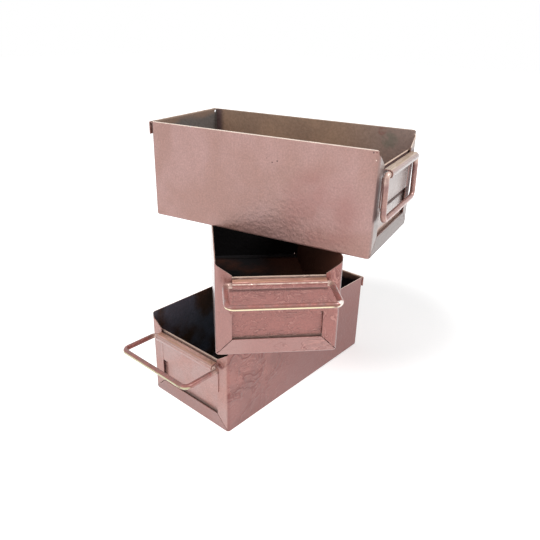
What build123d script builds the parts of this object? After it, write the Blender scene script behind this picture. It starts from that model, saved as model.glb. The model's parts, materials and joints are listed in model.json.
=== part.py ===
from build123d import *
import math
import os

# A stack of three alike steel parts drawers, each turned on the one below.
# One drawer, in millimetres: x across its front, y from its front to its back, z up from its underside.
sheet = 1.0
drawer_width = 131.0
drawer_length = 269.0
drawer_height = 110.0
upright_radius = 4.0
underside_radius = 2.5
weld_gap = 0.1

# Front opening, framed by the folded-in ends of the side walls and the floor
front_side_return = 17.3
front_floor_return = 18.9
slant_foot_height = 93.4
slant_corner_radius = 2.0
rim_end_radius = 4.5
mitre_gap = 0.8
mitre_tip = 3.2

# Rear opening, framed the same way behind the back panel
rear_return = 15.0

# Front panel: its margins lie on the side returns, and its field is set back to leave a card slot
card_slot = 2.6
panel_height = 90.2
panel_margin = 3.0
field_slope_width = 1.5
hem_depth = 8.0
panel_foot_width = 10.0
panel_fold_radius = 2.0

# Back panel: it stands on the floor, and its top hooks over the rear rim
lip_gap = 1.5
lip_depth = 14.5
rim_clearance = 0.3

# Pull plate: its edges lie on the side returns, its middle is pressed in and its top rolls into a hood
plate_bottom = 50.2
plate_overlap = 2.5
plate_recess_depth = 0.8
plate_step_width = 1.0
plate_step_gap = 0.4
plate_corner_radius = 1.5
hood_width = 96.0
hood_height = 89.5
hood_shoulder_height = 8.5
hood_back_radius = 1.5
hood_reach_depth = 9.5
hood_wrap_angle = 110.0

# Wire bail that swings in the hood
wire_diameter = 6.0
wire_clearance = 0.3
wire_play_gap = 0.2
bail_leg_spacing = 108.5
bail_length = 46.0
bail_top_radius = 5.0
bail_corner_radius = 7.5
wire_end_gap = 2.0

# How the drawers lie: middle from the middle of the bottom one, and turn.
# How each bail lies: angle out from the front, and how far it has slid along its hood.
drawers = {
    "bottom": {"level": 0, "middle": (0.0, 0.0), "turn": 0.0, "bail_angle": 90.0, "bail_slide": 0.0},
    "middle": {"level": 1, "middle": (4.5, -8.6), "turn": 47.9, "bail_angle": 89.0, "bail_slide": -1.25},
    "top": {"level": 2, "middle": (23.9, -3.9), "turn": 102.8, "bail_angle": 1.5, "bail_slide": -1.25},
}

# Places that follow from these sizes
half_width = drawer_width / 2
wall_inside = half_width - sheet
second_sheet = 1.5 * sheet
front_opening = half_width - front_side_return
rear_opening = half_width - rear_return
panel_half_width = half_width - upright_radius - weld_gap
rear_inside = drawer_length - 2 * sheet
hook_radius = (3 * sheet + lip_gap) / 2
hook_centre_height = drawer_height - hook_radius
plate_half_width = front_opening + plate_overlap
plate_middle_y = plate_recess_depth - sheet / 2
plate_edge_top = hood_height - hood_shoulder_height
wire_radius = wire_diameter / 2
curl_radius = wire_radius + wire_clearance + sheet / 2
hinge_y = curl_radius + sheet / 2 - hood_reach_depth
hinge_height = hood_height - sheet / 2 - curl_radius - wire_play_gap
overcut = 10.0


def open_block(width, length, base, upright, underside):
    """Block with rounded uprights and a rounded underside, in the middle of the drawer and up past its rim."""
    block = Pos(0, drawer_length / 2, base) * Box(
        width, length, drawer_height, align=(Align.CENTER, Align.CENTER, Align.MIN)
    )
    block = fillet(block.edges().filter_by(Axis.Z), upright)
    return fillet(block.faces().sort_by(Axis.Z)[0].edges(), underside)


def through(outline, y_from, y_to):
    """Solid of an outline drawn in x and z that runs from y_from to y_to."""
    return extrude(Plane.XZ.offset(-y_from) * outline, y_from - y_to)


def folded(path, width):
    """Sheet that follows a path drawn in y and z, of the given width about x = 0."""
    return extrude(Plane.YZ * trace(path, sheet), width / 2, both=True)


def block(x_range, y_range, z_range):
    """Square block between two values on each axis."""
    size = [high - low for low, high in (x_range, y_range, z_range)]
    middle = [(high + low) / 2 for low, high in (x_range, y_range, z_range)]
    return Pos(*middle) * Box(*size)


def mitres(corner_x, corner_z):
    """Open slits between the folded-in ends, from the lower corners of an opening to the tray's corners."""
    run = corner_z - mitre_tip
    slit = SlotOverall(run * math.sqrt(2) + mitre_gap, mitre_gap, rotation=-45)
    right = Pos(corner_x + run / 2, corner_z - run / 2) * slit
    return right + mirror(right, Plane.YZ)


def opening(half, sill):
    """Outline of an end opening whose side returns slant up to the side walls."""
    rise = drawer_height + overcut
    slant_top = drawer_height - rim_end_radius
    right = [(half, sill), (half, slant_foot_height), (wall_inside, slant_top), (wall_inside, rise)]
    left = [(-x, z) for x, z in reversed(right)]
    face = make_face(Polyline(*right, *left, close=True))
    slant_corners = face.vertices().filter_by_position(
        Axis.Y, slant_top - sheet / 2, slant_top + sheet / 2
    )
    return fillet(slant_corners, slant_corner_radius)


def rim_ends():
    """What is cut off the front ends of both side rims to round them down to the slants."""
    spare = Rectangle(
        rim_end_radius + overcut, rim_end_radius + overcut, align=(Align.MAX, Align.MIN)
    ) - Circle(rim_end_radius)
    outline = Pos(rim_end_radius, drawer_height - rim_end_radius) * spare
    return extrude(Plane.YZ * outline, drawer_width, both=True)


def tray():
    """One folded sheet: floor, side walls and the returns that frame the front and the back."""
    body = open_block(drawer_width, drawer_length, 0, upright_radius, underside_radius)
    body -= open_block(
        drawer_width - 2 * sheet,
        drawer_length - 2 * sheet,
        sheet,
        upright_radius - sheet,
        underside_radius - sheet,
    )
    front = opening(front_opening, front_floor_return)
    body -= through(front, -overcut, upright_radius)
    body -= through(mitres(front_opening, front_floor_return), -overcut, upright_radius)
    body -= rim_ends()
    rear_start = drawer_length - upright_radius
    rear_end = drawer_length + overcut
    body -= through(opening(rear_opening, rear_return), rear_start, rear_end)
    body -= through(mitres(rear_opening, rear_return), rear_start, rear_end)
    hook_room = block(
        (-drawer_width, drawer_width),
        (rear_inside - rim_clearance, rear_end),
        (hook_centre_height - rim_clearance, drawer_height + overcut),
    )
    return body - hook_room


def front_panel():
    """Panel welded behind the side returns, with a set-back field, a hemmed top and a foot on the floor."""
    field_y = second_sheet + card_slot
    slope_foot = panel_half_width - panel_margin
    field_half = slope_foot - field_slope_width
    plan = Polyline(
        (-panel_half_width, second_sheet),
        (-slope_foot, second_sheet),
        (-field_half, field_y),
        (field_half, field_y),
        (slope_foot, second_sheet),
        (panel_half_width, second_sheet),
    )
    foot_edge = underside_radius + weld_gap
    hem_middle_y = field_y + sheet / 2
    hem_middle_z = panel_height - sheet
    web = Pos(0, 0, foot_edge) * extrude(trace(plan, sheet), hem_middle_z - foot_edge)
    hem_section = Pos(hem_middle_y, hem_middle_z) * Circle(sheet)
    hem_section += Pos(hem_middle_y, hem_middle_z) * Rectangle(
        2 * sheet, hem_depth - sheet, align=(Align.CENTER, Align.MAX)
    )
    hem = extrude(Plane.YZ * hem_section, slope_foot, both=True)
    foot_path = FilletPolyline(
        (field_y, second_sheet + 2 * panel_fold_radius),
        (field_y, second_sheet),
        (field_y + panel_foot_width, second_sheet),
        radius=panel_fold_radius - sheet / 2,
    )
    return web + hem + folded(foot_path, 2 * field_half)


def back_panel():
    """Panel against the rear returns: a foot on the floor, and a top rolled back into a hanging lip."""
    web_y = rear_inside + sheet / 2
    roll_radius = hook_radius - sheet / 2
    lip_y = web_y + 2 * roll_radius
    foot = FilletPolyline(
        (web_y - panel_foot_width, second_sheet),
        (web_y, second_sheet),
        (web_y, hook_centre_height),
        radius=panel_fold_radius - sheet / 2,
    )
    roll = CenterArc((web_y + roll_radius, hook_centre_height), roll_radius, 0, 180)
    lip = Line((lip_y, hook_centre_height), (lip_y, drawer_height - lip_depth))
    panel = folded(foot + roll + lip, drawer_width)
    shoulder = block(
        (panel_half_width, drawer_width),
        (0, drawer_length + lip_gap / 2),
        (-overcut, hook_centre_height),
    )
    return panel - shoulder - mirror(shoulder, Plane.YZ)


def pull_plate():
    """Plate over the upper part of the front, whose top rolls forward into the hood that holds the bail."""
    edge_y = -sheet / 2
    step_outside = front_opening - plate_step_gap
    step_inside = step_outside - plate_step_width
    plan = Polyline(
        (-plate_half_width, edge_y),
        (-step_outside, edge_y),
        (-step_inside, plate_middle_y),
        (step_inside, plate_middle_y),
        (step_outside, edge_y),
        (plate_half_width, edge_y),
    )
    plate = Pos(0, 0, plate_bottom) * extrude(
        trace(plan, sheet), plate_edge_top - plate_bottom
    )
    thickness_edges = plate.edges().filter_by(Axis.Y).group_by(Axis.X)
    plate = fillet(thickness_edges[0] + thickness_edges[-1], plate_corner_radius)
    top_y = hood_height - sheet / 2
    front_y = sheet / 2 - hood_reach_depth
    hood_path = FilletPolyline(
        (plate_middle_y, plate_edge_top - sheet),
        (plate_middle_y, top_y),
        (front_y, top_y),
        (front_y, hinge_height),
        radius=[hood_back_radius - sheet / 2, curl_radius],
    )
    curl = CenterArc((hinge_y, hinge_height), curl_radius, 180, hood_wrap_angle)
    return plate + folded(hood_path + curl, hood_width)


def bail():
    """Round wire bent to a long loop about its hinge line on the x axis, hanging down, its ends in the hood."""
    side = bail_leg_spacing / 2
    end = wire_end_gap / 2
    route = Plane.XZ * FilletPolyline(
        (-end, 0),
        (-side, 0),
        (-side, -bail_length),
        (side, -bail_length),
        (side, 0),
        (end, 0),
        radius=[bail_top_radius, bail_corner_radius, bail_corner_radius, bail_top_radius],
    )
    section = Plane.YZ.offset(-end) * Circle(wire_radius)
    return sweep(section, path=route)


def main():
    os.makedirs("parts", exist_ok=True)
    pieces = {
        "tray": tray(),
        "front_panel": front_panel(),
        "back_panel": back_panel(),
        "pull_plate": pull_plate(),
    }
    hanging_bail = bail()
    for name, drawer in drawers.items():
        x, y = drawer["middle"]
        place = Pos(x, y, drawer["level"] * drawer_height) * Rot(0, 0, drawer["turn"])
        place *= Pos(0, -drawer_length / 2, 0)
        hinge = Pos(drawer["bail_slide"], hinge_y, hinge_height) * Rot(-drawer["bail_angle"], 0, 0)
        for piece, shape in pieces.items():
            export_step(place * shape, f"parts/{name}_{piece}.step")
        export_step(place * hinge * hanging_bail, f"parts/{name}_bail.step")


main()
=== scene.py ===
import json
import math

import bpy
from mathutils import Matrix, Vector


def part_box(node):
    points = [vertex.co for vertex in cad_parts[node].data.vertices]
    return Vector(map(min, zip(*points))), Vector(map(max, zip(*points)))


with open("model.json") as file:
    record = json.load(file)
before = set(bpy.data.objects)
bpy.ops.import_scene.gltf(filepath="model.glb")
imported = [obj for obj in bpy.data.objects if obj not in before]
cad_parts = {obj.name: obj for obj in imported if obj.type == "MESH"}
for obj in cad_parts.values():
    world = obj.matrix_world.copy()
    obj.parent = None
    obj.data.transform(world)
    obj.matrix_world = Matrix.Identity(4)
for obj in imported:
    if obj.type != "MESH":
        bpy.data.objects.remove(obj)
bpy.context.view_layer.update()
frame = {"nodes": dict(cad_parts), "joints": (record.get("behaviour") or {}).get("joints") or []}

# The bottom drawer lies square to the frame, so the boxes of its pieces give a drawer's sizes
tray_low, tray_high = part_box("bottom_tray")
plate_low, plate_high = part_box("bottom_pull_plate")
panel_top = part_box("bottom_front_panel")[1].z

# Sizes of one drawer in metres, from those boxes and from the places of its folds
SHEET = 0.001
SKIN = 0.0001
DRAWER_LENGTH = tray_high.y - tray_low.y
DRAWER_HEIGHT = tray_high.z - tray_low.z
HALF_INSIDE = tray_high.x - SHEET
FRONT_OPENING = 0.0482
SILL = 0.0189
MITRE_SUM = FRONT_OPENING + SILL
PLATE_FOOT = plate_low.z
HOOD_LIP = plate_high.z - 0.0073
HEM_TOP = panel_top - 0.0017
RIM_FOOT = DRAWER_HEIGHT - 0.0175
RIM_LINE = DRAWER_HEIGHT - 0.0009
HOOK_START = DRAWER_LENGTH - 0.0035

# Hinge of each bail, which also gives its drawer's place and turn
HINGES = {joint["child"]: joint for joint in frame["joints"]}
bottom_hinge = Vector(HINGES["bottom_bail_handle"]["pos_m"])
HINGE_FROM_FRONT = bottom_hinge - Vector((0.0, tray_low.y, tray_low.z))

# How far each bail stands out, in degrees, and how far it has slid along its hood
BAILS = {
    "bottom": {"angle": 90.0, "slide": 0.0},
    "middle": {"angle": 89.0, "slide": -0.00125},
    "top": {"angle": 1.5, "slide": -0.00125},
}

# Colours, as plain linear values
DUSTY_PINK = (0.49, 0.285, 0.258)
WARM_PINK = (0.43, 0.235, 0.198)
PALE_ROSE = (0.54, 0.345, 0.32)
ROSE = (0.54, 0.285, 0.247)
DEEP_PINK = (0.395, 0.150, 0.128)
BERRY_PINK = (0.36, 0.14, 0.12)
WASH_PINK = (0.42, 0.175, 0.15)
CREST_HIGHLIGHT_PINK = (0.62, 0.30, 0.26)
MAUVE = (0.265, 0.108, 0.098)
PLUM = (0.28, 0.155, 0.148)
WIRE_PINK = (0.34, 0.175, 0.16)
PAINTED_SHEEN_GREY = (0.29, 0.255, 0.243)
DARK_RED = (0.22, 0.060, 0.050)
CREAM = (0.98, 0.80, 0.68)
BARE_AND_HIGHLIT_EDGE = (0.72, 0.54, 0.43)
GOLD_TAN = (0.42, 0.27, 0.155)
WARM_TAN = (0.62, 0.34, 0.22)
SAND = (0.58, 0.43, 0.32)
SHELL = (0.75, 0.55, 0.47)
COPPER_PINK = (0.86, 0.48, 0.39)
PAINTED_REFLECTION_GREY = (0.27, 0.235, 0.225)
OLIVE_GOLD = (0.60, 0.55, 0.33)
BRIGHT_GOLD = (0.98, 0.86, 0.56)
SILVER = (0.92, 0.84, 0.78)
BRONZE = (0.28, 0.115, 0.085)
INK = (0.014, 0.012, 0.013)
BLUE_INK = (0.18, 0.205, 0.265)
BROWN_INK = (0.12, 0.075, 0.052)
RED_INK = (0.060, 0.022, 0.014)
DEEP_BROWN = (0.11, 0.040, 0.024)
OLIVE = (0.49, 0.33, 0.235)
TAUPE = (0.41, 0.28, 0.205)
PURPLE_BROWN = (0.44, 0.325, 0.285)
DARK_PLUM = (0.17, 0.115, 0.115)
SLATE = (0.16, 0.146, 0.136)
GREEN_GREY = (0.26, 0.26, 0.21)
BAND_BROWN = (0.29, 0.195, 0.145)
SHADOW_BROWN = (0.13, 0.070, 0.065)
DARK_LINE = (0.060, 0.025, 0.022)
WHITE = (1.0, 1.0, 1.0)

# Paint of each drawer: tones, size of its patches, wrinkling, the tray's gloss and the plate's
# painted sheen, a grey reflection painted into its colour
FINISH = {
    "bottom": {
        "main": ROSE,
        "second": PALE_ROSE,
        "side": MAUVE,
        "patch": 0.050,
        "wrinkle": 0.15,
        "gloss": 0.4,
        "plate_pearl": 0.4,
    },
    "middle": {
        "main": DEEP_PINK,
        "second": BERRY_PINK,
        "side": PLUM,
        "patch": 0.022,
        "wrinkle": 1.0,
        "gloss": 0.8,
        "plate_pearl": 0.85,
    },
    "top": {
        "main": DUSTY_PINK,
        "second": WARM_PINK,
        "patch": 0.070,
        "wrinkle": 0.1,
        "gloss": 0.8,
        "plate_pearl": 0.85,
    },
}
SIDE_TINT = 0.85

# Tones of each drawer's inside, with painted shade near its back corner, and how much of the tones
# at its right and front
INSIDE = {
    "bottom": {"Main": BLUE_INK, "Second": BROWN_INK, "Corner Shade": INK, "Back": INK},
    "middle": {
        "Main": INK,
        "Second": RED_INK,
        "Right": DEEP_BROWN,
        "Right Share": 1.0,
        "Corner Shade": INK,
        "Back": INK,
    },
    "top": {
        "Main": OLIVE,
        "Second": TAUPE,
        "Front": PURPLE_BROWN,
        "Front Share": 1.0,
        "Corner Shade": DARK_PLUM,
        "Back": SLATE,
    },
}

# Limits of masks: where one starts, where it is full, and its values there if they aren't 0 and 1
FACING_FRONT = (-0.5, -0.9)
FACING_RIGHT = (0.3, 0.8)
FACING_LEFT = (-0.3, -0.8)

# Patches: how many to a metre, the noise where they start and are full, and the least between them
EDGE_PATCHES = (80.0, 0.3, 0.6, 0.7)
ROLL_PATCHES = (90.0, 0.35, 0.6, 0.2)
HOOD_PATCHES = (50.0, 0.3, 0.62, 0.7)
HOOD_EDGE_PATCHES = (200.0, 0.32, 0.56, 0.45)
WASH_PATCHES = (35.0, 0.3, 0.7)
BLOTCH_PATCHES = (160.0, 0.35, 0.55)
SIDE_REFLECTION_PATCHES = (28.0, 0.35, 0.6, 0.4)
SMUDGE_PATCHES = (150.0, 0.3, 0.6)
BY_HOOD_PATCHES = (120.0, 0.3, 0.6, 0.3)
BRONZE_PATCHES = (90.0, 0.45, 0.65)
WORN_CORNER_PATCHES = (220.0, 0.4, 0.5)

# Streaks: stretch along each axis, how many to a metre, and the noise where they start and are full
HOOD_STREAKS = ((0.12, 1.0, 1.0), 420.0, 0.35, 0.65)
BAR_STREAKS = ((0.15, 1.0, 1.0), 500.0, 0.30, 0.45)

# Folds of the wrinkled coat: stretch along each axis, so that they run along or across a piece
SIDE_FOLDS = (1.0, 0.5, 0.8)
UPRIGHT_FOLDS = (1.5, 1.0, 0.5)
LEVEL_FOLDS = (0.4, 1.0, 1.5)
PANEL_FOLDS = (0.55, 1.0, 1.4)


# Node helpers

def put(tree, value, socket):
    """Link a socket, or write a plain value, into an input."""
    if isinstance(value, bpy.types.NodeSocket):
        tree.links.new(value, socket)
    elif socket.type == "RGBA" and len(value) == 3:
        socket.default_value = (*value, 1.0)
    else:
        socket.default_value = value


def add(tree, kind, inputs=None, **settings):
    """A node with its settings, whose inputs are linked sockets or plain values."""
    made = tree.nodes.new(kind)
    for name, value in settings.items():
        setattr(made, name, value)
    for name, value in (inputs or {}).items():
        put(tree, value, made.inputs[name])
    return made


def calc(tree, operation, first, second=0.0, clamp=False):
    """Result of one Math node."""
    made = add(tree, "ShaderNodeMath", {0: first, 1: second}, operation=operation)
    made.use_clamp = clamp
    return made.outputs[0]


def vector_calc(tree, operation, first, second):
    """Result of one Vector Math node."""
    made = add(tree, "ShaderNodeVectorMath", {0: first, 1: second}, operation=operation)
    return made.outputs["Value" if operation == "DISTANCE" else "Vector"]


def split(tree, vector):
    """The x, y and z of a vector."""
    return tuple(add(tree, "ShaderNodeSeparateXYZ", {0: vector}).outputs)


def both(tree, *masks):
    """Where all the masks meet. A plain number among them weakens or strengthens the result."""
    result = masks[0]
    for mask in masks[1:]:
        result = calc(tree, "MULTIPLY", result, mask)
    return result


def beyond(tree, mask):
    """Where a mask isn't."""
    return calc(tree, "SUBTRACT", 1.0, mask)


def ramp(tree, value, low, high, low_out=0.0, high_out=1.0):
    """Smooth step of a value: low_out up to the limit low, high_out from the limit high on."""
    inputs = {
        "Value": value,
        "From Min": low,
        "From Max": high,
        "To Min": low_out,
        "To Max": high_out,
    }
    return add(tree, "ShaderNodeMapRange", inputs, interpolation_type="SMOOTHSTEP").outputs["Result"]


# Numbers of a Mix node's sockets: its first value, its second and its result
MIX_SOCKETS = {"RGBA": (6, 7, 2), "FLOAT": (2, 3, 0)}


def mix(tree, factor, first, second, kind="RGBA"):
    """Colour mixed from first to second, or a plain value where the kind is FLOAT."""
    start, end, result = MIX_SOCKETS[kind]
    made = add(tree, "ShaderNodeMix", {0: factor, start: first, end: second}, data_type=kind)
    return made.outputs[result]


def noise(tree, position, scale, detail=2.0, roughness=0.5, distortion=0.0):
    """Noise with the given number of features per metre."""
    inputs = {
        "Vector": position,
        "Scale": scale,
        "Detail": detail,
        "Roughness": roughness,
        "Distortion": distortion,
    }
    return add(tree, "ShaderNodeTexNoise", inputs).outputs["Fac"]


# Sockets that several groups have
FLOAT, VECTOR, COLOUR = "NodeSocketFloat", "NodeSocketVector", "NodeSocketColor"
POSITION = ("Position", VECTOR, None)
MASK = [("Mask", FLOAT)]


def new_group(name, inputs, outputs):
    """Empty shader node group: the group, the sockets it is given and those it puts out."""
    group = bpy.data.node_groups.new(name, "ShaderNodeTree")
    for label, kind, value in inputs:
        socket = group.interface.new_socket(label, in_out="INPUT", socket_type=kind)
        if value is not None:
            socket.default_value = value
    for label, kind in outputs:
        group.interface.new_socket(label, in_out="OUTPUT", socket_type=kind)
    given = group.nodes.new("NodeGroupInput")
    result = group.nodes.new("NodeGroupOutput")
    return group, given.outputs, result.inputs


def use(tree, group, inputs):
    """One placed copy of a group, with its own values."""
    made = tree.nodes.new("ShaderNodeGroup")
    made.node_tree = group
    for name, value in inputs.items():
        put(tree, value, made.inputs[name])
    return made.outputs


# Effects that several materials share

# Middle of a noise's values, where folds and runs have their lines
NOISE_MIDDLE = 0.5

# Hammered paint: its noises, scales in features to a metre, and what each does to tone and sheen
PAINT_PATCHES = {"detail": 3.0, "roughness": 0.55, "distortion": 0.4}
CLOUDS = {"scale": 110.0, "detail": 4.0, "roughness": 0.6, "distortion": 0.8}
FLAKES = {"scale": 520.0, "roughness": 0.6}
SPRAY_PEEL = {"scale": 330.0, "detail": 1.0, "roughness": 0.4}
SECOND_TONE = (0.36, 0.66)
CLOUD_TONE = (0.35, 0.7, 0.95, 1.04)
FLAKE_TONE = (0.3, 0.75, 0.90, 1.10)
PAINT_SHEEN = (0.3, 0.7, 0.38, 0.5)
SPRAY_PEEL_HEIGHT = 1.6


def make_hammered_paint():
    """Thin metallic paint: soft patches, fine flake and the peel of a sprayed coat."""
    given_sockets = [
        POSITION,
        ("Main", COLOUR, None),
        ("Second", COLOUR, None),
        ("Patch Scale", FLOAT, 20.0),
    ]
    made_sockets = [("Color", COLOUR), ("Roughness", FLOAT), ("Height", FLOAT)]
    group, given, result = new_group("hammered_paint", given_sockets, made_sockets)
    at = given["Position"]
    patches = noise(group, at, given["Patch Scale"], **PAINT_PATCHES)
    colour = mix(group, ramp(group, patches, *SECOND_TONE), given["Main"], given["Second"])
    clouds = noise(group, at, **CLOUDS)
    cloudy = ramp(group, clouds, *CLOUD_TONE)
    flaky = ramp(group, noise(group, at, **FLAKES), *FLAKE_TONE)
    put(group, vector_calc(group, "MULTIPLY", colour, both(group, cloudy, flaky)), result["Color"])
    put(group, ramp(group, clouds, *PAINT_SHEEN), result["Roughness"])
    peel = noise(group, at, **SPRAY_PEEL)
    put(group, both(group, peel, SPRAY_PEEL_HEIGHT), result["Height"])
    return group


# Wrinkled coat: its noises, the reach of a fold's painted crease shade, painted crest highlight and
# rise, and where folds cluster
FOLDS = {"scale": 70.0, "distortion": 2.2}
FOLD_CLUSTERS = {"scale": 45.0}
CREASE = (0.026, 0.0)
CREST_START = (0.015, 0.035)
CREST_END = (0.075, 0.05)
FOLD_RISE = (-0.02, 0.06, 0.0, 2.0)
IN_CLUSTERS = (0.34, 0.52)


def make_wrinkled_coat():
    """Thick paint that dried in curling folds: painted shade along a crease, a painted highlight on
    the crest beside it, and the raised fold.
    """
    given_sockets = [POSITION, ("Stretch", VECTOR, None), ("Amount", FLOAT, 1.0)]
    made_sockets = [("Crease Shade", FLOAT), ("Crest Highlight", FLOAT), ("Height", FLOAT)]
    group, given, result = new_group("wrinkled_coat", given_sockets, made_sockets)
    at = given["Position"]
    along = vector_calc(group, "MULTIPLY", at, given["Stretch"])
    beside = calc(group, "SUBTRACT", noise(group, along, **FOLDS), NOISE_MIDDLE)
    crease = ramp(group, calc(group, "ABSOLUTE", beside), *CREASE)
    crest = both(group, ramp(group, beside, *CREST_START), ramp(group, beside, *CREST_END))
    raised = ramp(group, beside, *FOLD_RISE)
    clusters = noise(group, at, **FOLD_CLUSTERS)
    amount = both(group, ramp(group, clusters, *IN_CLUSTERS), given["Amount"])
    for label, effect in (("Crease Shade", crease), ("Crest Highlight", crest), ("Height", raised)):
        put(group, both(group, effect, amount), result[label])
    return group


# Paint runs: their noises, where their lines aren't broken, and how wide a line and its ridge are
RUN_FIELD = {"detail": 2.5, "roughness": 0.55, "distortion": 0.9}
RUN_BREAKS = {"scale": 70.0, "detail": 1.0}
UNBROKEN = (0.32, 0.46)
RUN_LINE = (0.026, 0.008)
RUN_RIDGE = (0.08, 0.0)


def make_paint_runs():
    """Thin dark lines where thick paint ran and wrinkled, with the ridge beside them."""
    given_sockets = [POSITION, ("Scale", FLOAT, 40.0), ("Amount", FLOAT, 1.0)]
    made_sockets = [("Line", FLOAT), ("Height", FLOAT)]
    group, given, result = new_group("paint_runs", given_sockets, made_sockets)
    at, amount = given["Position"], given["Amount"]
    field = noise(group, at, given["Scale"], **RUN_FIELD)
    away = calc(group, "ABSOLUTE", calc(group, "SUBTRACT", field, NOISE_MIDDLE))
    unbroken = ramp(group, noise(group, at, **RUN_BREAKS), *UNBROKEN)
    put(group, both(group, ramp(group, away, *RUN_LINE), unbroken, amount), result["Line"])
    put(group, both(group, ramp(group, away, *RUN_RIDGE), amount), result["Height"])
    return group


def make_within():
    """How far a point is inside a box, from 0 outside it to 1 inside, with a soft border."""
    given_sockets = [
        POSITION,
        ("Low", VECTOR, None),
        ("High", VECTOR, None),
        ("Border", FLOAT, 0.001),
    ]
    group, given, result = new_group("within", given_sockets, MASK)
    at = given["Position"]
    above = vector_calc(group, "SUBTRACT", at, given["Low"])
    below = vector_calc(group, "SUBTRACT", given["High"], at)
    x, y, z = split(group, vector_calc(group, "MINIMUM", above, below))
    least = calc(group, "MINIMUM", calc(group, "MINIMUM", x, y), z)
    put(group, calc(group, "DIVIDE", least, given["Border"], clamp=True), result["Mask"])
    return group


# Distances from a spot's middle, in radii, where it starts and where it is full
SPOT_EDGE = (1.0, 0.5)


def make_spot():
    """Round spot with a soft edge about one place."""
    given_sockets = [POSITION, ("Middle", VECTOR, None), ("Radius", FLOAT, 0.001)]
    group, given, result = new_group("spot", given_sockets, MASK)
    away = vector_calc(group, "DISTANCE", given["Position"], given["Middle"])
    put(group, ramp(group, calc(group, "DIVIDE", away, given["Radius"]), *SPOT_EDGE), result["Mask"])
    return group


def make_patchy():
    """Patches with soft borders, so that an edge or a tint isn't even."""
    given_sockets = [
        POSITION,
        ("Scale", FLOAT, 80.0),
        ("Low", FLOAT, 0.3),
        ("High", FLOAT, 0.6),
        ("Least", FLOAT, 0.0),
    ]
    group, given, result = new_group("patchy", given_sockets, MASK)
    patches = noise(group, given["Position"], given["Scale"], detail=3.0)
    put(group, ramp(group, patches, given["Low"], given["High"], given["Least"]), result["Mask"])
    return group


def make_streaks():
    """Fine streaks along one direction, where metal was rubbed."""
    given_sockets = [
        POSITION,
        ("Stretch", VECTOR, None),
        ("Scale", FLOAT, 400.0),
        ("Low", FLOAT, 0.3),
        ("High", FLOAT, 0.6),
    ]
    group, given, result = new_group("streaks", given_sockets, MASK)
    along = vector_calc(group, "MULTIPLY", given["Position"], given["Stretch"])
    lines = noise(group, along, given["Scale"])
    put(group, ramp(group, lines, given["Low"], given["High"]), result["Mask"])
    return group


def make_worn_and_highlit_edge():
    """Upper edge that is pale where a face lies high and looks up, in patches: paint worn off, and a
    painted highlight.
    """
    given_sockets = [
        POSITION,
        ("Up", FLOAT, 0.0),
        ("Edge", FLOAT, 0.1),
        ("Depth", FLOAT, 0.001),
        ("Least Up", FLOAT, 0.3),
        ("Full Up", FLOAT, 0.5),
        ("Patchiness", FLOAT, 1.0),
    ]
    group, given, result = new_group("worn_and_highlit_edge", given_sockets, MASK)
    z = split(group, given["Position"])[2]
    high = ramp(group, z, given["Edge"], calc(group, "ADD", given["Edge"], given["Depth"]))
    looking_up = ramp(group, given["Up"], given["Least Up"], given["Full Up"])
    put(group, both(group, high, looking_up, given["Patchiness"]), result["Mask"])
    return group


# Lining: its noises, its second tone and grain in them, and the reach of its tones at side and ends
LINING_BLOTCHES = {"scale": 22.0, "detail": 3.0}
LINING_GRAIN = {"scale": 380.0, "detail": 3.0, "roughness": 0.65}
BLOTCHED = (0.4, 0.62)
GRAIN_TONE = (0.3, 0.7, 0.90, 1.10)
LINING_TONES = {
    "Right": (0.0, 0.05),
    # Painted shade near the back corner
    "Corner Shade": (DRAWER_LENGTH - 0.017, DRAWER_LENGTH - 0.007),
    "Back": (HOOK_START, HOOK_START + SHEET / 2),
    "Front": (0.110, 0.010),
}


def make_lining():
    """Dark blotched and grainy coat of a drawer's inside, toned at its ends and at its right, with
    painted shade near its back corner.
    """
    given_sockets = [
        POSITION,
        ("Main", COLOUR, None),
        ("Second", COLOUR, None),
        ("Right", COLOUR, None),
        ("Right Share", FLOAT, 0.0),
        ("Corner Shade", COLOUR, None),
        ("Back", COLOUR, None),
        ("Front", COLOUR, None),
        ("Front Share", FLOAT, 0.0),
    ]
    group, given, result = new_group("drawer_lining", given_sockets, [("Color", COLOUR)])
    at = given["Position"]
    across, along = split(group, at)[:2]
    blotched = ramp(group, noise(group, at, **LINING_BLOTCHES), *BLOTCHED)
    lining = mix(group, blotched, given["Main"], given["Second"])
    share = {"Right": given["Right Share"], "Front": given["Front Share"]}
    for label, limits in LINING_TONES.items():
        place = across if label == "Right" else along
        mask = ramp(group, place, *limits, high_out=share.get(label, 1.0))
        lining = mix(group, mask, lining, given[label])
    grainy = ramp(group, noise(group, at, **LINING_GRAIN), *GRAIN_TONE)
    put(group, vector_calc(group, "MULTIPLY", lining, grainy), result["Color"])
    return group


HAMMERED = make_hammered_paint()
WRINKLED = make_wrinkled_coat()
RUNS = make_paint_runs()
WITHIN = make_within()
SPOT = make_spot()
PATCHY = make_patchy()
STREAKS = make_streaks()
WORN_AND_HIGHLIT_EDGE = make_worn_and_highlit_edge()
LINING = make_lining()


# Materials

# Painted sheen: facing values where the grey reflection painted into the colour starts and is full
GLANCING = (0.58, 0.78)
METALLIC = 0.35
WIRE_METALLIC = 0.4
SPECULAR = 0.2
GLOSS = 0.8
GLOSS_ROUGHNESS = 0.25
DULL_ROUGHNESS = 0.7
DULL_GLOSS = 0.05
BUMP_STRENGTH = 0.5
BUMP_DEPTH = 0.0006


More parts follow.
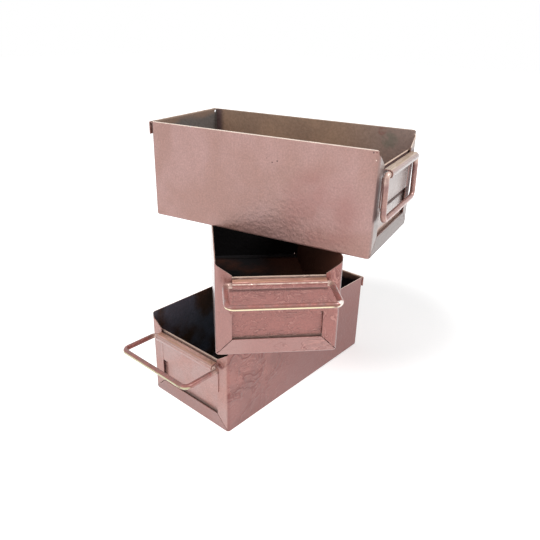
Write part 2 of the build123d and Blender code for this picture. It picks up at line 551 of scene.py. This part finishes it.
class Finish:
    """A material being made for one node of one drawer, with the drawer's own axes."""

    def __init__(self, name, place, turn, tilt=0.0):
        self.material = bpy.data.materials.new(name)
        self.material.use_nodes = True
        self.tree = self.material.node_tree
        self.tree.nodes.clear()
        coords = add(self.tree, "ShaderNodeTexCoord").outputs
        turned = (math.radians(-tilt), 0.0, math.radians(turn))
        local = {"Vector": coords["Object"], "Location": place, "Rotation": turned}
        self.at = add(self.tree, "ShaderNodeMapping", local, vector_type="TEXTURE").outputs[0]
        toward = {"Vector": coords["Normal"], "Rotation": turned}
        facing = add(self.tree, "ShaderNodeMapping", toward, vector_type="TEXTURE").outputs[0]
        self.x, self.y, self.z = split(self.tree, self.at)
        self.to_right, self.to_rear, self.to_top = split(self.tree, facing)
        self.colour = self.roughness = self.height = self.dull = None

    def coat(self, main, second, patch, pearl=0.85):
        """Lay the hammered paint, with a painted grey reflection that grows toward a glancing view.
        """
        paint = {"Position": self.at, "Main": main, "Second": second, "Patch Scale": 1 / patch}
        made = use(self.tree, HAMMERED, paint)
        self.colour, self.roughness, self.height = made["Color"], made["Roughness"], made["Height"]
        if pearl:
            # Painted sheen: a grey reflection painted into the colour at a glancing view
            glancing = add(self.tree, "ShaderNodeLayerWeight", {"Blend": 0.5}).outputs["Facing"]
            self.tint(ramp(self.tree, glancing, *GLANCING, high_out=pearl), PAINTED_SHEEN_GREY)

    def tint(self, mask, colour, share=1.0):
        """Paint a share of a colour where the mask is 1."""
        if share != 1.0:
            mask = both(self.tree, mask, share)
        self.colour = mix(self.tree, mask, self.colour, colour)

    def dull_tint(self, mask, colour, share=1.0):
        """Paint a colour that takes the gloss away too: the drawers' dark insides, and painted
        shadow, shade and reflection.
        """
        if share != 1.0:
            mask = both(self.tree, mask, share)
        self.tint(mask, colour)
        self.dull = mask if self.dull is None else calc(self.tree, "MAXIMUM", self.dull, mask)

    def raise_by(self, height, times=1.0):
        """Make the surface stand higher."""
        if times != 1.0:
            height = both(self.tree, height, times)
        self.height = calc(self.tree, "ADD", self.height, height)

    def wrinkle(self, stretch, amount, contrast):
        """Wrinkle the coat along one direction, with painted shade in its creases and a painted
        highlight on its crests.
        """
        made = use(self.tree, WRINKLED, {"Position": self.at, "Stretch": stretch, "Amount": amount})
        # Painted shade along the creases and a painted highlight on the crests, beside the raised
        # folds
        self.tint(made["Crease Shade"], DARK_RED, share=contrast)
        self.tint(made["Crest Highlight"], CREST_HIGHLIGHT_PINK, share=contrast)
        self.raise_by(made["Height"])

    def within(self, low, high, border):
        """Mask of a box."""
        box = {"Position": self.at, "Low": low, "High": high, "Border": border}
        return use(self.tree, WITHIN, box)["Mask"]

    def spot(self, middle, radius):
        """Mask of a round spot."""
        round_spot = {"Position": self.at, "Middle": middle, "Radius": radius}
        return use(self.tree, SPOT, round_spot)["Mask"]

    def broken(self, scale, low, high, least=0.0):
        """Patchy mask, so that an edge or a tint isn't even."""
        patches = {"Position": self.at, "Scale": scale, "Low": low, "High": high, "Least": least}
        return use(self.tree, PATCHY, patches)["Mask"]

    def streaks(self, stretch, scale, low, high):
        """Mask of fine streaks."""
        rubbed = {"Position": self.at, "Stretch": stretch, "Scale": scale, "Low": low, "High": high}
        return use(self.tree, STREAKS, rubbed)["Mask"]

    def worn_and_highlit_edge(self, edge, depth, facing, patchiness):
        """Where an upper edge is pale: paint worn off, and a painted highlight."""
        wear = {
            "Position": self.at,
            "Up": self.to_top,
            "Edge": edge,
            "Depth": depth,
            "Least Up": facing[0],
            "Full Up": facing[1],
            "Patchiness": patchiness,
        }
        return use(self.tree, WORN_AND_HIGHLIT_EDGE, wear)["Mask"]

    def finish(self, metallic=METALLIC, gloss=GLOSS):
        """Put the material together: glossy, but dull inside the drawer and under painted shadow,
        shade and reflection.
        """
        tree = self.tree
        bumped = {"Strength": BUMP_STRENGTH, "Distance": BUMP_DEPTH, "Height": self.height}
        shader = {
            "Base Color": self.colour,
            "Roughness": self.roughness,
            "Specular IOR Level": SPECULAR,
            "Metallic": metallic,
            "Normal": add(tree, "ShaderNodeBump", bumped).outputs[0],
            "Coat Weight": gloss,
            "Coat Roughness": GLOSS_ROUGHNESS,
        }
        if self.dull is not None:
            shader["Roughness"] = mix(tree, self.dull, self.roughness, DULL_ROUGHNESS, kind="FLOAT")
            shader["Metallic"] = ramp(tree, self.dull, 0.0, 1.0, metallic, 0.0)
            shader["Coat Weight"] = ramp(tree, self.dull, 0.0, 1.0, gloss, DULL_GLOSS)
        made = add(tree, "ShaderNodeBsdfPrincipled", shader)
        put(tree, made.outputs[0], add(tree, "ShaderNodeOutputMaterial").inputs[0])
        return self.material


def hinge_line(name):
    """Middle of a drawer's hinge line, and the direction along it to the drawer's right."""
    hinge = HINGES[f"{name}_bail_handle"]
    return Vector(hinge["pos_m"]), -Vector(hinge["axis"])


def turn_of(name):
    """Turn of a drawer in degrees."""
    along = hinge_line(name)[1]
    return math.degrees(math.atan2(along.y, along.x))


def front_place(name):
    """Middle of a drawer's front at its underside."""
    middle, along = hinge_line(name)
    into = Vector((-along.y, along.x, 0.0))
    return middle - into * HINGE_FROM_FRONT.y - Vector((0.0, 0.0, HINGE_FROM_FRONT.z))


def bail_place(name):
    """Middle of a bail on its hinge line."""
    middle, along = hinge_line(name)
    return middle + along * BAILS[name]["slide"]


def painted(piece, name, **coat_settings):
    """A finish for one sheet piece of a drawer, with the drawer's own coat on it."""
    look = FINISH[name]
    made = Finish(f"{name}_{piece}_paint", front_place(name), turn_of(name))
    made.coat(look["main"], look["second"], look["patch"], **coat_settings)
    return made


LOOKING_IN = (0.3, 0.1)
OPEN_TOP = 1.0


def facing_in(made):
    """Where a face of the tray looks into the drawer, rounded corners too."""
    tree = made.tree
    sideways = both(tree, made.to_right, calc(tree, "SIGN", made.x))
    from_middle = calc(tree, "SUBTRACT", made.y, DRAWER_LENGTH / 2)
    endways = both(tree, made.to_rear, calc(tree, "SIGN", from_middle))
    outward = calc(tree, "SUBTRACT", calc(tree, "ADD", sideways, endways), made.to_top)
    room = made.within(
        (-HALF_INSIDE - SKIN, SHEET - SKIN, SHEET - SKIN),
        (HALF_INSIDE + SKIN, DRAWER_LENGTH - SHEET + SKIN, OPEN_TOP),
        SKIN,
    )
    return both(tree, room, ramp(tree, outward, *LOOKING_IN))


def line_inside(made, inside, name):
    """Lay the dull dark coat of the inside of a drawer."""
    lining = use(made.tree, LINING, {"Position": made.at, **INSIDE[name]})["Color"]
    made.dull_tint(inside, lining)


# Tray

RUNS_ALONG = (0.14, 0.03)
RUNS_UP = (0.015, 0.06, 0.35)
RUNS_SCALE = 26.0
RIDGE_HEIGHT = 5.0
SIDE_FOLD_AMOUNT = 0.7
HOOD_END_BLOTCH = (0.0545, 0.0, 0.0885)
BLOTCH_RADIUS = 0.006


def paint_side_runs(made, side):
    """Runs and wrinkles of thick paint near the front of the bottom drawer's side, and a blotch."""
    tree = made.tree
    zone = both(tree, side, ramp(tree, made.y, *RUNS_ALONG), ramp(tree, made.z, *RUNS_UP))
    made.tint(both(tree, zone, made.broken(*WASH_PATCHES)), WASH_PINK)
    runs = use(tree, RUNS, {"Position": made.at, "Scale": RUNS_SCALE, "Amount": zone})
    made.tint(runs["Line"], DARK_RED, share=0.8)
    made.raise_by(runs["Height"], times=RIDGE_HEIGHT)
    made.wrinkle(SIDE_FOLDS, both(tree, zone, SIDE_FOLD_AMOUNT), contrast=0.45)
    blotch = made.spot(HOOD_END_BLOTCH, BLOTCH_RADIUS)
    made.tint(both(tree, blotch, made.broken(*BLOTCH_PATCHES)), DARK_RED)


PALE_LEFT = (-0.02, -0.05)


def tone_lower_fronts(name, made, front, lower):
    """Tone of the floor return of the two lower drawers, and of the middle drawer's left."""
    tree = made.tree
    if name == "bottom":
        made.tint(both(tree, front, lower), PLUM, share=0.45)
    if name == "middle":
        made.tint(both(tree, front, ramp(tree, made.x, *PALE_LEFT)), DUSTY_PINK, share=0.5)
        made.tint(both(tree, front, lower), PALE_ROSE, share=0.4)


# Top drawer: marks, painted shadow and painted reflection on its front returns, and a painted
# reflection and orange peel on its long side
NEAR_RETURN = (-0.046, -0.049)
NEAR_CORNER = (-0.0535, -0.0565)
NEAR_SHADE_FOOT = (0.036, 0.042)
NEAR_SHADE_TOP = (0.092, 0.078)
FAR_RETURN = (0.046, 0.049)
FAR_SHADE_FOOT = (0.032, 0.038)
FAR_SHADE_TOP = (0.094, 0.086)
FAR_SLANT = (0.045, 0.050)
SLANT_RISE = (0.088, 0.095)
SIDE_REFLECTION_SPOT = (-0.0655, 0.055, 0.042)
SIDE_REFLECTION_RADIUS = 0.055
ORANGE_PEEL = {"scale": 250.0, "detail": 1.5}
ORANGE_PEEL_HEIGHT = 2.4
ORANGE_PEEL_UP = (0.14, 0.03)
ORANGE_PEEL_ALONG = (0.26, 0.08)


def shade_and_reflect_top_returns(made, front, upright, lower):
    """Painted grey reflection and painted brown shadow, both without gloss, and a sand tint on the
    folded-in ends that frame the top drawer's front.
    """
    tree = made.tree
    near_return = both(tree, front, ramp(tree, made.x, *NEAR_RETURN), upright)
    # Painted grey reflection on the near return, in place of its gloss
    made.dull_tint(near_return, PAINTED_REFLECTION_GREY, share=0.35)
    near_corner = both(tree, front, ramp(tree, made.x, *NEAR_CORNER))
    near_foot, near_top = (ramp(tree, made.z, *ends) for ends in (NEAR_SHADE_FOOT, NEAR_SHADE_TOP))
    # Painted shadow of the bail's near leg on the near corner
    made.dull_tint(both(tree, near_corner, both(tree, near_foot, near_top)), SHADOW_BROWN, share=0.8)
    far_slant = both(tree, front, ramp(tree, made.x, *FAR_SLANT), ramp(tree, made.z, *SLANT_RISE))
    made.tint(far_slant, SAND, share=0.6)
    # Painted grey reflection on the floor return, in place of its gloss
    made.dull_tint(both(tree, front, lower), PAINTED_REFLECTION_GREY, share=0.62)
    far_return = both(tree, front, ramp(tree, made.x, *FAR_RETURN), upright)
    # Painted grey reflection on the far return, in place of its gloss
    made.dull_tint(far_return, PAINTED_REFLECTION_GREY, share=0.45)
    far_foot, far_top = (ramp(tree, made.z, *ends) for ends in (FAR_SHADE_FOOT, FAR_SHADE_TOP))
    # Painted shadow beside the bail's far leg on the far return
    made.dull_tint(both(tree, far_return, both(tree, far_foot, far_top)), SHADOW_BROWN, share=0.95)


def reflect_and_peel_top_side(made):
    """Painted reflection of the red middle drawer as a rosy patch low on the top drawer's long side,
    and coarse orange peel there.
    """
    tree = made.tree
    # Painted reflection of the middle drawer's red front
    side_reflection = both(tree, made.spot(SIDE_REFLECTION_SPOT, SIDE_REFLECTION_RADIUS), made.broken(*SIDE_REFLECTION_PATCHES))
    made.tint(side_reflection, BERRY_PINK, share=0.5)
    side = ramp(tree, made.to_right, *FACING_LEFT)
    low = ramp(tree, made.z, *ORANGE_PEEL_UP)
    near_front = ramp(tree, made.y, *ORANGE_PEEL_ALONG)
    orange_peel = noise(tree, made.at, **ORANGE_PEEL)
    made.raise_by(both(tree, orange_peel, side, low, near_front), times=ORANGE_PEEL_HEIGHT)


# Small marks on the top drawer: place from the middle of its front, radius, colour
SMUDGES = [
    ((0.0645, 0.040, 0.1047), 0.006, BERRY_PINK),
    ((0.0645, 0.030, 0.0950), 0.012, GREEN_GREY),
]
CHIPS = [
    ((-0.0655, 0.1128, 0.0841), 0.0010, DARK_LINE),
    ((-0.0655, 0.1070, 0.0861), 0.0010, DARK_LINE),
    ((-0.0655, 0.1192, 0.0877), 0.0006, DARK_LINE),
    ((-0.0655, 0.0066, 0.1073), 0.0009, DARK_LINE),
    ((-0.0655, 0.0036, 0.1080), 0.0009, DARK_RED),
    ((-0.0655, 0.0033, 0.1005), 0.0008, CREAM),
    ((-0.0650, 0.2139, 0.1098), 0.0014, SILVER),
]
RIM_WEAR_AND_HIGHLIGHT = {"bottom": 0.6, "middle": 0.6, "top": 1.0}
RIM_FACING = (0.3, 0.5)
RIM_LINE_DEPTH = 0.0003
RETURN_CONTRAST = 0.6
WRINKLED_FROM_LEFT = (-0.03, 0.04, 0.25)


def tray_finish(name):
    """Folded tray: paint runs on the bottom one, chips, painted shadow and painted reflection on the
    top one, pale rims, worn and partly painted highlight, a dark inside.
    """
    look = FINISH[name]
    made = painted("tray", name)
    tree = made.tree
    inside = facing_in(made)
    right_side = ramp(tree, made.to_right, *FACING_RIGHT)
    if name != "top":
        made.tint(right_side, look["side"], share=SIDE_TINT)
    if name == "bottom":
        paint_side_runs(made, both(tree, right_side, beyond(tree, inside)))
    front = ramp(tree, made.to_rear, *FACING_FRONT)
    above_mitre = calc(tree, "ADD", calc(tree, "ABSOLUTE", made.x), made.z)
    upright = ramp(tree, above_mitre, MITRE_SUM - SKIN, MITRE_SUM + SKIN)
    lower = beyond(tree, upright)
    tone_lower_fronts(name, made, front, lower)
    amount = both(tree, front, ramp(tree, made.x, *WRINKLED_FROM_LEFT), look["wrinkle"])
    made.wrinkle(UPRIGHT_FOLDS, both(tree, amount, upright), RETURN_CONTRAST)
    made.wrinkle(LEVEL_FOLDS, both(tree, amount, lower), RETURN_CONTRAST)
    if name == "top":
        shade_and_reflect_top_returns(made, front, upright, lower)
        reflect_and_peel_top_side(made)
    line_inside(made, inside, name)
    patches = made.broken(*EDGE_PATCHES)
    before_hook = ramp(tree, made.y, HOOK_START + SHEET, HOOK_START)
    rim = both(tree, made.worn_and_highlit_edge(RIM_FOOT, SHEET, RIM_FACING, patches), before_hook)
    if name == "top":
        for middle, radius, colour in SMUDGES:
            smudge = both(tree, made.spot(middle, radius), made.broken(*SMUDGE_PATCHES))
            made.tint(smudge, colour, share=0.6)
        # Pale line along the top of the top drawer's walls: worn paint and a painted highlight
        rim_line = both(tree, ramp(tree, made.z, RIM_LINE, RIM_LINE + RIM_LINE_DEPTH), patches)
        rim = calc(tree, "MAXIMUM", rim, rim_line)
    # Pale rims: worn paint with a painted highlight where they look up
    made.tint(rim, CREAM, share=RIM_WEAR_AND_HIGHLIGHT[name])
    if name == "top":
        for middle, radius, colour in CHIPS:
            made.tint(made.spot(middle, radius), colour)
    return made.finish(gloss=look["gloss"])


# Front panel, back panel and pull plate

PANEL_CONTRAST = 0.5
PAINTED_LIGHT_SILL = (SILL + 0.003, SILL)
PAINTED_LIGHT_SLOT = (0.078, 0.082)
PLATE_EDGE_SHADOW = (PLATE_FOOT - 0.0088, PLATE_FOOT - 0.0080)
PAINTED_LIGHT_FOOT = (0.026, 0.022)
PAINTED_LIGHT_SLOPE = (-0.7, -0.5)
BEHIND = (-0.4, -0.2)
HEM_DEPTH = 0.0008
HEM_FACING = (0.1, 0.4)
REAR_WALL = (DRAWER_LENGTH + SHEET, DRAWER_LENGTH)
OFF_THE_SIDES = (0.9, 0.6)
OFF_THE_REAR = (0.6, 0.3)
BACK_BAND_WAVES = {"scale": 25.0, "detail": 3.0}
BACK_BAND_FOOT = (0.3, 0.7, 0.101, 0.106)
BACK_BAND_BLUR = 0.004
ROLL_TOP = 0.107
ROLL_DEPTH = 0.002
ROLL_FACING = (0.7, 0.95)


def front_panel_finish(name):
    """Panel in the window: painted in front, dark behind, with painted light above the sill and in
    the slot behind the hood, a painted shadow under the top drawer's plate, and a pale worn hem with
    a painted highlight.
    """
    made = painted("front_panel", name)
    tree = made.tree
    made.wrinkle(PANEL_FOLDS, FINISH[name]["wrinkle"], PANEL_CONTRAST)
    # Painted light on the panel just above the sill, where shade falls in the slot
    made.tint(ramp(tree, made.z, *PAINTED_LIGHT_SILL), SHELL, share=0.5)
    if name == "top":
        # Painted shadow of the pull plate's lower edge on the set-back panel, without gloss
        made.dull_tint(ramp(tree, made.z, *PLATE_EDGE_SHADOW), SHADOW_BROWN, share=0.85)
        # Painted light on the top drawer's panel foot and on its slopes, which lie in shade
        made.tint(ramp(tree, made.z, *PAINTED_LIGHT_FOOT), SHELL)
        made.tint(ramp(tree, made.to_rear, *PAINTED_LIGHT_SLOPE), SHELL)
    else:
        # Painted light on the hem's front face in the slot behind the hood, which lies in shade
        made.tint(ramp(tree, made.z, *PAINTED_LIGHT_SLOT), SHELL, share=0.9)
    line_inside(made, ramp(tree, made.to_rear, *BEHIND), name)
    patches = made.broken(*EDGE_PATCHES)
    # Pale hem: worn paint with a painted highlight where it looks up
    made.tint(made.worn_and_highlit_edge(HEM_TOP, HEM_DEPTH, HEM_FACING, patches), BARE_AND_HIGHLIT_EDGE)
    return made.finish()


def back_panel_finish(name):
    """Panel at the back: dark inside, with a brown band along the top of its inner face, and a pale
    worn roll with a painted highlight where its top rolls over the rim.
    """
    made = painted("back_panel", name)
    tree = made.tree
    inner = both(
        tree,
        ramp(tree, made.y, *REAR_WALL),
        ramp(tree, calc(tree, "ABSOLUTE", made.to_right), *OFF_THE_SIDES),
        ramp(tree, made.to_rear, *OFF_THE_REAR),
    )
    line_inside(made, inner, name)
    band_foot = ramp(tree, noise(tree, made.at, **BACK_BAND_WAVES), *BACK_BAND_FOOT)
    band = ramp(tree, calc(tree, "SUBTRACT", made.z, band_foot), -BACK_BAND_BLUR, BACK_BAND_BLUR)
    made.tint(both(tree, band, inner), BAND_BROWN, share=0.85)
    patches = made.broken(*ROLL_PATCHES)
    # Pale roll: worn paint with a painted highlight where it looks up
    made.tint(made.worn_and_highlit_edge(ROLL_TOP, ROLL_DEPTH, ROLL_FACING, patches), BARE_AND_HIGHLIT_EDGE)
    return made.finish()


HOOD_TONES = {
    "bottom": (WARM_TAN, COPPER_PINK),
    "middle": (WARM_TAN, COPPER_PINK),
    "top": (GOLD_TAN, SAND),
}
HOOD_EDGE_HIGHLIGHT = {"bottom": 0.35, "middle": 0.95, "top": 0.15}
AHEAD_OF_PLATE = (0.001, -0.001)
HOOD_TOP_FACING = (0.75, 0.95)
HOOD_EDGE_LOW = (0.42, 0.50)
HOOD_EDGE_HIGH = (0.70, 0.62)
LIP_FOOT = (HOOD_LIP, HOOD_LIP - 0.0008)
LIP_FRONT = (-0.002, -0.003)
PLATE_SURFACE = (-0.003, -0.002)
UNDER_HOOD_FOOT = (0.0750, 0.0762)
UNDER_HOOD_TOP = (0.0792, 0.0780)
FAR_MARGIN = (0.0466, 0.0480)


def pull_plate_finish(name):
    """Plate and hood: streaks worn along the hood, a painted highlight on its front edge, a pale lip
    and painted shade at the far margin on the top one, and painted shadow under the hood and painted
    shade on the lip on the lower ones.
    """
    made = painted("pull_plate", name, pearl=FINISH[name]["plate_pearl"])
    tree = made.tree
    made.wrinkle(PANEL_FOLDS, FINISH[name]["wrinkle"], PANEL_CONTRAST)
    hood = ramp(tree, made.y, *AHEAD_OF_PLATE)
    hood_top = both(tree, ramp(tree, made.to_top, *HOOD_TOP_FACING), hood)
    worn = both(tree, hood_top, made.broken(*HOOD_PATCHES))
    made.tint(worn, mix(tree, made.streaks(*HOOD_STREAKS), *HOOD_TONES[name]))
    # Painted highlight along the hood's front edge, where it looks up and forward, in patches
    hood_edge_highlight = both(
        tree,
        ramp(tree, made.to_top, *HOOD_EDGE_LOW),
        ramp(tree, made.to_top, *HOOD_EDGE_HIGH),
        hood,
        made.broken(*HOOD_EDGE_PATCHES),
    )
    made.tint(hood_edge_highlight, CREAM, share=HOOD_EDGE_HIGHLIGHT[name])
    lip = both(tree, ramp(tree, made.z, *LIP_FOOT), ramp(tree, made.y, *LIP_FRONT))
    if name == "top":
        made.tint(lip, SILVER, share=0.9)
        # Painted shade on the top plate's far margin beside the bail's far leg, without gloss
        made.dull_tint(ramp(tree, made.x, *FAR_MARGIN), SHADOW_BROWN, share=0.75)
    else:
        # Painted shadow of the hood's lip on the plate just below it, without gloss, and painted
        # shade on the lip
        under_hood = both(
            tree,
            ramp(tree, made.z, *UNDER_HOOD_FOOT),
            ramp(tree, made.z, *UNDER_HOOD_TOP),
            ramp(tree, made.y, *PLATE_SURFACE),
        )
        made.dull_tint(under_hood, SHADOW_BROWN, share=0.55)
        made.tint(lip, SHADOW_BROWN, share=0.4)
    return made.finish()


# Bail, on axes that hang with it from the hinge line

WIRE_TONES = {"bottom": DEEP_PINK, "middle": DEEP_PINK, "top": WARM_PINK}
WIRE_PATCH = 0.012
BY_HOOD = (-0.012, -0.004)
BAR = (-0.034, -0.043)
GOLD_TO_REAR, GOLD_TO_TOP = 0.35, -0.9
TOWARD_GOLD = (0.50, 0.62)
OUTER_SIDE = (-0.2, -0.4)
GOLD_START = {"bottom": (-0.45, -0.27), "middle": (-0.14, 0.04)}
GOLD_END = {"bottom": (0.74, 0.62), "middle": (0.52, 0.40)}
GOLDS = {"bottom": OLIVE_GOLD, "middle": BRIGHT_GOLD}
WORN_CORNER = (0.053, 0.0, -0.045)
WORN_CORNER_RADIUS = 0.0065


def bail_finish(name):
    """The same paint on round wire, worn to pale metal along the bar of the two lower bails, with
    painted shade on the bar's underside.
    """
    made = Finish(f"{name}_bail_paint", bail_place(name), turn_of(name), BAILS[name]["angle"])
    tree = made.tree
    made.coat(WIRE_TONES[name], WIRE_PINK, WIRE_PATCH, pearl=0.0)
    made.tint(both(tree, ramp(tree, made.z, *BY_HOOD), made.broken(*BY_HOOD_PATCHES)), SHELL)
    if name != "top":
        made.tint(made.broken(*BRONZE_PATCHES), BRONZE, share=0.5)
        bar = ramp(tree, made.z, *BAR)
        # Bronze over the bar's front: a brown line above the gold band, and painted shade on the
        # underside below it
        to_rear = both(tree, made.to_rear, GOLD_TO_REAR)
        to_top = both(tree, made.to_top, GOLD_TO_TOP)
        toward_gold = ramp(tree, calc(tree, "ADD", to_rear, to_top), *TOWARD_GOLD)
        made.tint(both(tree, toward_gold, bar), BRONZE, share=0.8)
        gold_band = both(
            tree,
            ramp(tree, made.to_top, *OUTER_SIDE),
            ramp(tree, made.to_rear, *GOLD_START[name]),
            ramp(tree, made.to_rear, *GOLD_END[name]),
            bar,
        )
        made.tint(gold_band, mix(tree, made.streaks(*BAR_STREAKS), BRONZE, GOLDS[name]))
    if name == "middle":
        worn_corner = made.spot(WORN_CORNER, WORN_CORNER_RADIUS)
        made.tint(both(tree, worn_corner, made.broken(*WORN_CORNER_PATCHES)), SILVER)
    return made.finish(metallic=WIRE_METALLIC)


PIECE_FINISHES = {
    "tray": tray_finish,
    "front_panel": front_panel_finish,
    "back_panel": back_panel_finish,
    "pull_plate": pull_plate_finish,
    "bail": bail_finish,
}
for drawer_name in FINISH:
    for piece, make_finish in PIECE_FINISHES.items():
        node = frame["nodes"][f"{drawer_name}_{piece}"]
        node.data.materials.clear()
        node.data.materials.append(make_finish(drawer_name))


# Floor, light and camera

FLOOR_REACH = 6.0
FLOOR_DROP = 0.0002
SHADOW_MIDDLE = (0.03, 0.22, 0.0)
SHADOW_REACH = (0.10, 0.34)
SHADOW_GLOW = 0.20
PAPER_CLOUDS = {"scale": 5.0}
PAPER_TONE = (0.3, 0.7, 0.86, 0.88)
ROOM_LIGHT = 0.40
STACK_MIDDLE = (0.02, 0.0, 0.18)
SOFTBOXES = [
    {"name": "overhead", "place": (0.80, 0.50, 1.50), "size": 0.6, "power": 14.0},
    {"name": "front_fill", "place": (-0.1, -1.7, 0.9), "size": 1.2, "power": 8.0},
]
CAMERA_PLACE = (0.422717, -0.486979, 0.435527)
CAMERA_AZIMUTH, CAMERA_ELEVATION, CAMERA_ROLL = 40.4767, 24.358, 1.6348
FOCAL_LENGTH = 36.565
SENSOR_WIDTH = 36.0
NEAREST_SEEN = 0.01


def white_where_seen(tree, plain, seen):
    """Strength that is plain for light and seen for the camera and in reflections."""
    path = add(tree, "ShaderNodeLightPath").outputs
    looked_at = calc(tree, "MAXIMUM", path["Is Camera Ray"], path["Is Glossy Ray"])
    looked_at = calc(tree, "MAXIMUM", looked_at, path["Is Transmission Ray"])
    extra = calc(tree, "SUBTRACT", seen, plain)
    return calc(tree, "ADD", both(tree, looked_at, extra), plain)


def make_floor():
    """White paper floor that goes on into the white behind it, with room for the stack's shadow."""
    mesh = bpy.data.meshes.new("floor")
    reach = FLOOR_REACH
    corners = [(-reach, -reach, 0), (reach, -reach, 0), (reach, reach, 0), (-reach, reach, 0)]
    mesh.from_pydata(corners, [], [(0, 1, 2, 3)])
    floor = bpy.data.objects.new("floor", mesh)
    bpy.context.scene.collection.objects.link(floor)
    floor.location.z = -FLOOR_DROP
    paper = bpy.data.materials.new("white_paper")
    paper.use_nodes = True
    tree = paper.node_tree
    tree.nodes.clear()
    at = add(tree, "ShaderNodeTexCoord").outputs["Object"]
    shade = ramp(tree, noise(tree, at, **PAPER_CLOUDS), *PAPER_TONE)
    grey = add(tree, "ShaderNodeCombineColor", {0: shade, 1: shade, 2: shade}).outputs[0]
    matt = add(tree, "ShaderNodeBsdfDiffuse", {"Color": grey}).outputs[0]
    away = vector_calc(tree, "DISTANCE", at, SHADOW_MIDDLE)
    glow = ramp(tree, away, *SHADOW_REACH, low_out=SHADOW_GLOW)
    shine = {"Color": WHITE, "Strength": white_where_seen(tree, 0.0, glow)}
    lit = add(tree, "ShaderNodeEmission", shine).outputs[0]
    whole = add(tree, "ShaderNodeAddShader", {0: matt, 1: lit}).outputs[0]
    put(tree, whole, add(tree, "ShaderNodeOutputMaterial").inputs[0])
    mesh.materials.append(paper)


def make_world():
    """Even white room."""
    world = bpy.data.worlds.new("white_studio")
    bpy.context.scene.world = world
    world.use_nodes = True
    tree = world.node_tree
    tree.nodes.clear()
    light = {"Color": WHITE, "Strength": white_where_seen(tree, ROOM_LIGHT, 1.0)}
    sky = add(tree, "ShaderNodeBackground", light).outputs[0]
    put(tree, sky, add(tree, "ShaderNodeOutputWorld").inputs[0])


def make_softbox(name, place, size, power):
    """Square area lamp that looks at the middle of the stack."""
    lamp = bpy.data.lights.new(name, "AREA")
    lamp.shape = "SQUARE"
    lamp.size = size
    lamp.energy = power
    holder = bpy.data.objects.new(name, lamp)
    bpy.context.scene.collection.objects.link(holder)
    holder.location = place
    ahead = Vector(STACK_MIDDLE) - Vector(place)
    holder.rotation_euler = ahead.to_track_quat("-Z", "Y").to_euler()


def make_camera():
    """Camera at the photograph's viewpoint."""
    azimuth, elevation, roll = map(math.radians, (CAMERA_AZIMUTH, CAMERA_ELEVATION, CAMERA_ROLL))
    level = math.cos(elevation)
    back = Vector((math.sin(azimuth) * level, -math.cos(azimuth) * level, math.sin(elevation)))
    level_right = (-back).cross(Vector((0, 0, 1))).normalized()
    level_up = level_right.cross(-back)
    right = level_right * math.cos(roll) + level_up * math.sin(roll)
    up = level_up * math.cos(roll) - level_right * math.sin(roll)
    turn = Matrix((right, up, back)).transposed()
    lens = bpy.data.cameras.new("camera")
    lens.lens = FOCAL_LENGTH
    lens.sensor_width = SENSOR_WIDTH
    lens.clip_start = NEAREST_SEEN
    holder = bpy.data.objects.new("camera", lens)
    bpy.context.scene.collection.objects.link(holder)
    holder.matrix_world = Matrix.Translation(CAMERA_PLACE) @ turn.to_4x4()
    bpy.context.scene.camera = holder


make_floor()
make_world()
for softbox in SOFTBOXES:
    make_softbox(**softbox)
make_camera()
bpy.context.scene.view_settings.view_transform = "Standard"
